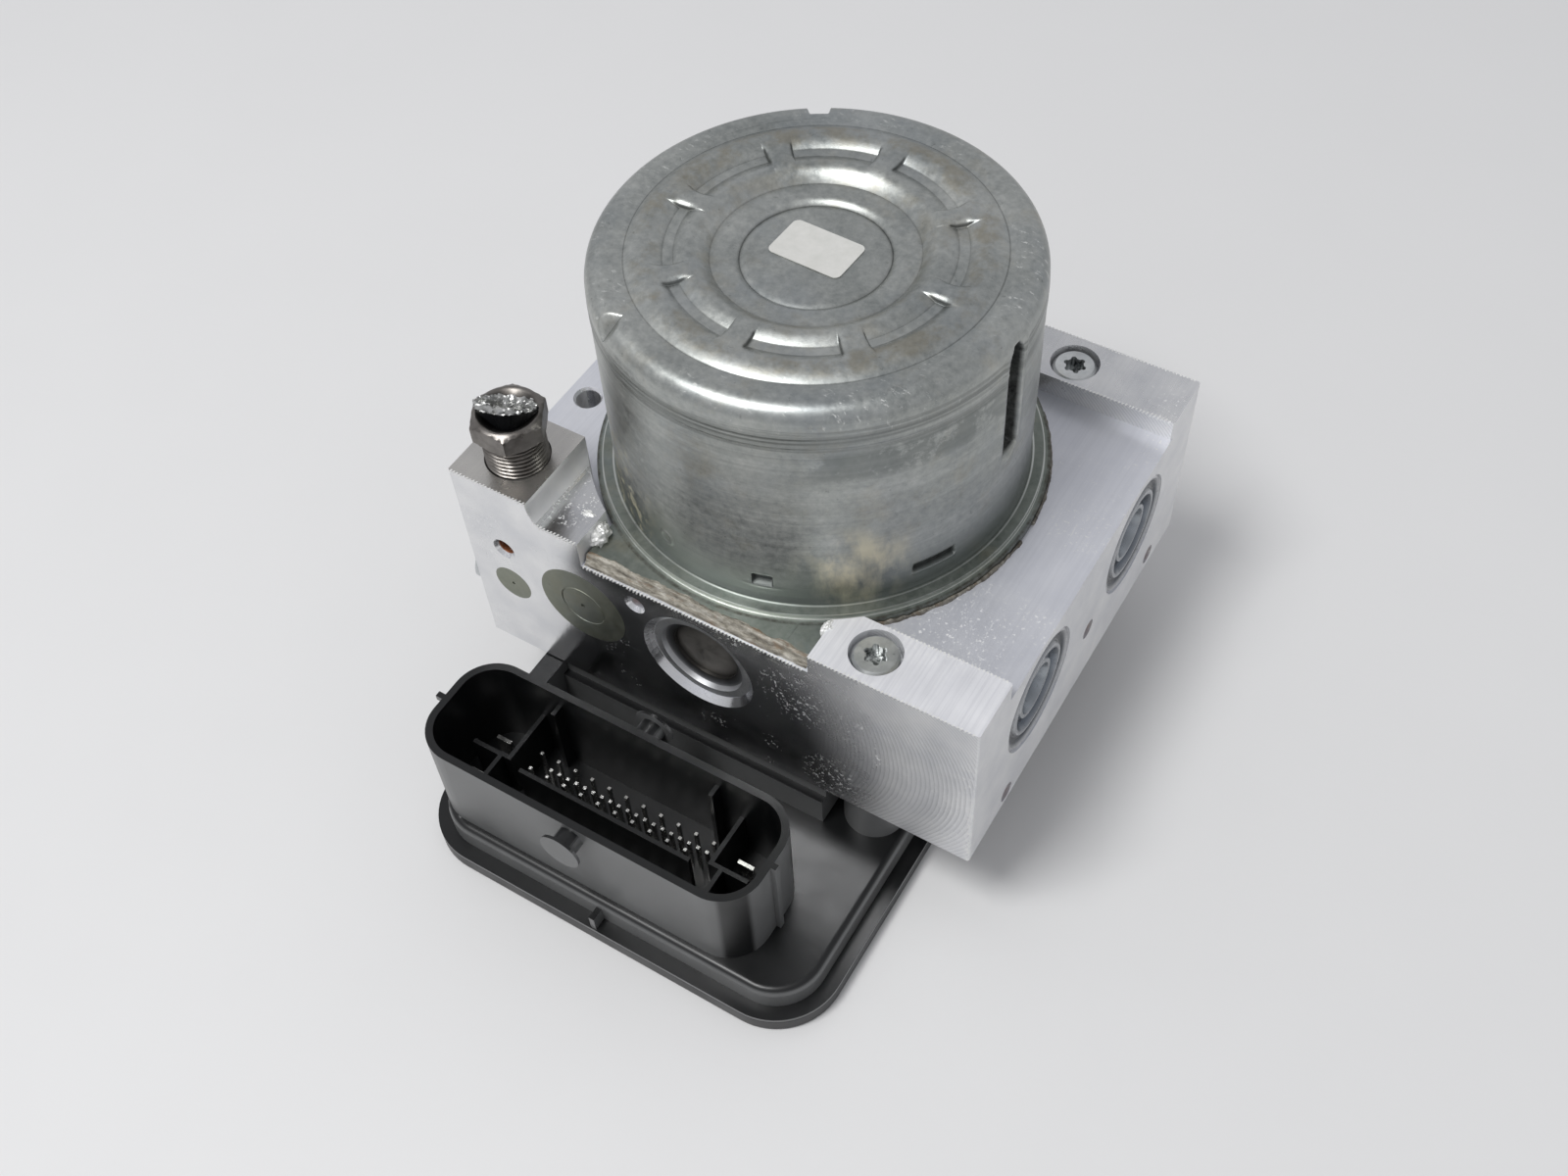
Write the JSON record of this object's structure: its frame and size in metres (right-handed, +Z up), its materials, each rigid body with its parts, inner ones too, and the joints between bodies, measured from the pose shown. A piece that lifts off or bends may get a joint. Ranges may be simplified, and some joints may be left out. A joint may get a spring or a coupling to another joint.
{
  "type": "anti-lock brake hydraulic module",
  "caption": "Anti-lock brake module: milled aluminium valve block with a drawn pump motor on top and a black control unit with an open connector shroud below.",
  "frame": {"origin": "motor axis on the underside of the control unit cover", "axes": "+Z up along the motor axis, Y along the two opposed pumps with the connector at -Y, +X toward the accumulator face"},
  "size_m": [0.1166, 0.1366, 0.1102],
  "materials": {
    "milled_aluminium": "face-milled, fine cutter marks",
    "zinc_plated_can": "deep drawn, zinc plated, dull",
    "zinc_plated_flange": "zinc plated, grey-green",
    "grey_plug": "pressed in flush, matte grey",
    "copper_ball": "copper coloured",
    "turned_plug": "turned, bright",
    "bright_cap": "pressed steel, polished",
    "turned_aluminium": "turned, anodised",
    "steel": "ground steel",
    "lamination": "stamped laminations",
    "copper_wire": "enamelled copper",
    "ferrite": "sintered ferrite",
    "carbon": "pressed carbon",
    "black_plastic": "moulded, glass filled",
    "housing_plastic": "moulded black, satin",
    "cover_plastic": "moulded black, satin",
    "board": "green solder resist",
    "gasket_rubber": "moulded",
    "sealant": "dried bead, tan",
    "label_paper": "white, satin",
    "tinned_pins": "tin plated",
    "coil_resin": "resin cast coil",
    "phosphated_steel": "dark zinc-nickel plated",
    "zinc_plated_nut": "zinc plated",
    "sheared_pipe": "plastic coated steel, torn bright",
    "zinc_screw": "zinc plated",
    "bronze": "sintered bronze"
  },
  "bodies": {
    "unit": {"accumulator_cap_far": "bright_cap", "accumulator_cap_near": "bright_cap", "accumulator_spring_far": "steel", "accumulator_spring_near": "steel", "bearing_outer_race": "steel", "brake_nut": "phosphated_steel", "brush_holder": "black_plastic", "can_label": "label_paper", "carbon_brushes": "carbon", "circuit_board": "board", "ecu_cover": "cover_plastic", "ecu_gasket": "gasket_rubber", "ecu_housing": "housing_plastic", "ecu_screws": "zinc_screw", "hydraulic_block": "milled_aluminium", "large_plugs": "grey_plug", "motor_can": "zinc_plated_can", "motor_contact": "black_plastic", "motor_flange": "zinc_plated_flange", "motor_magnets": "ferrite", "outlet_nut": "zinc_plated_nut", "outlet_stub": "sheared_pipe", "pipe_stub": "sheared_pipe", "power_blades": "tinned_pins", "pressure_sensor": "steel", "pump_cylinder_back": "steel", "pump_cylinder_front": "steel", "pump_plug_back": "turned_plug", "pump_plug_front": "turned_plug", "pump_spring_back": "steel", "pump_spring_front": "steel", "sealant_bead": "sealant", "sealing_balls": "copper_ball", "signal_pins": "tinned_pins", "small_plugs": "grey_plug", "upper_bearing_cup": "steel", "upper_bush": "bronze", "valve_bodies": "steel", "valve_coils": "coil_resin"},
    "rotor": {"motor_shaft": "steel", "armature_core": "lamination", "armature_winding": "copper_wire", "commutator": "copper_wire", "bearing_inner_race": "steel", "bearing_balls": "steel", "eccentric_needles": "steel"},
    "eccentric_race": {"eccentric_race": "steel"},
    "pump_piston_front": {"pump_piston_front": "steel"},
    "pump_piston_back": {"pump_piston_back": "steel"},
    "accumulator_piston_near": {"accumulator_piston_near": "turned_aluminium"},
    "accumulator_piston_far": {"accumulator_piston_far": "turned_aluminium"},
    "valve_plunger_1": {"valve_plunger_1": "steel"},
    "valve_plunger_2": {"valve_plunger_2": "steel"},
    "valve_plunger_3": {"valve_plunger_3": "steel"},
    "valve_plunger_4": {"valve_plunger_4": "steel"},
    "valve_plunger_5": {"valve_plunger_5": "steel"},
    "valve_plunger_6": {"valve_plunger_6": "steel"},
    "valve_plunger_7": {"valve_plunger_7": "steel"},
    "valve_plunger_8": {"valve_plunger_8": "steel"}
  },
  "joints": [
    {"name": "motor_spin", "type": "hinge", "parent": "unit", "child": "rotor", "pos_m": [0, 0, 0.0443], "axis": [0, 0, 1], "continuous": true},
    {"name": "race_spin", "type": "hinge", "parent": "rotor", "child": "eccentric_race", "pos_m": [0.0011, 0, 0.0443], "axis": [0, 0, 1], "continuous": true},
    {"name": "pump_stroke_front", "type": "slide", "parent": "unit", "child": "pump_piston_front", "axis": [0, -1, 0], "range_m": [-0.0011, 0.0011], "stiffness_N_per_m": 800, "springref_m": -0.005, "deforming": ["pump_spring_front"]},
    {"name": "pump_stroke_back", "type": "slide", "parent": "unit", "child": "pump_piston_back", "axis": [0, 1, 0], "range_m": [-0.0011, 0.0011], "stiffness_N_per_m": 800, "springref_m": -0.005, "deforming": ["pump_spring_back"]},
    {"name": "accumulator_travel_near", "type": "slide", "parent": "unit", "child": "accumulator_piston_near", "axis": [1, 0, 0], "range_m": [0, 0.006], "stiffness_N_per_m": 3000, "springref_m": -0.004, "deforming": ["accumulator_spring_near"]},
    {"name": "accumulator_travel_far", "type": "slide", "parent": "unit", "child": "accumulator_piston_far", "axis": [1, 0, 0], "range_m": [0, 0.006], "stiffness_N_per_m": 3000, "springref_m": -0.004, "deforming": ["accumulator_spring_far"]},
    {"name": "valve_stroke_1", "type": "slide", "parent": "unit", "child": "valve_plunger_1", "axis": [0, 0, 1], "range_m": [0, 0.00025], "stiffness_N_per_m": 2000, "springref_m": -0.002},
    {"name": "valve_stroke_2", "type": "slide", "parent": "unit", "child": "valve_plunger_2", "axis": [0, 0, 1], "range_m": [-0.00025, 0], "stiffness_N_per_m": 2000, "springref_m": 0.002},
    {"name": "valve_stroke_3", "type": "slide", "parent": "unit", "child": "valve_plunger_3", "axis": [0, 0, 1], "range_m": [0, 0.00025], "stiffness_N_per_m": 2000, "springref_m": -0.002},
    {"name": "valve_stroke_4", "type": "slide", "parent": "unit", "child": "valve_plunger_4", "axis": [0, 0, 1], "range_m": [-0.00025, 0], "stiffness_N_per_m": 2000, "springref_m": 0.002},
    {"name": "valve_stroke_5", "type": "slide", "parent": "unit", "child": "valve_plunger_5", "axis": [0, 0, 1], "range_m": [0, 0.00025], "stiffness_N_per_m": 2000, "springref_m": -0.002},
    {"name": "valve_stroke_6", "type": "slide", "parent": "unit", "child": "valve_plunger_6", "axis": [0, 0, 1], "range_m": [-0.00025, 0], "stiffness_N_per_m": 2000, "springref_m": 0.002},
    {"name": "valve_stroke_7", "type": "slide", "parent": "unit", "child": "valve_plunger_7", "axis": [0, 0, 1], "range_m": [0, 0.00025], "stiffness_N_per_m": 2000, "springref_m": -0.002},
    {"name": "valve_stroke_8", "type": "slide", "parent": "unit", "child": "valve_plunger_8", "axis": [0, 0, 1], "range_m": [-0.00025, 0], "stiffness_N_per_m": 2000, "springref_m": 0.002}
  ]
}
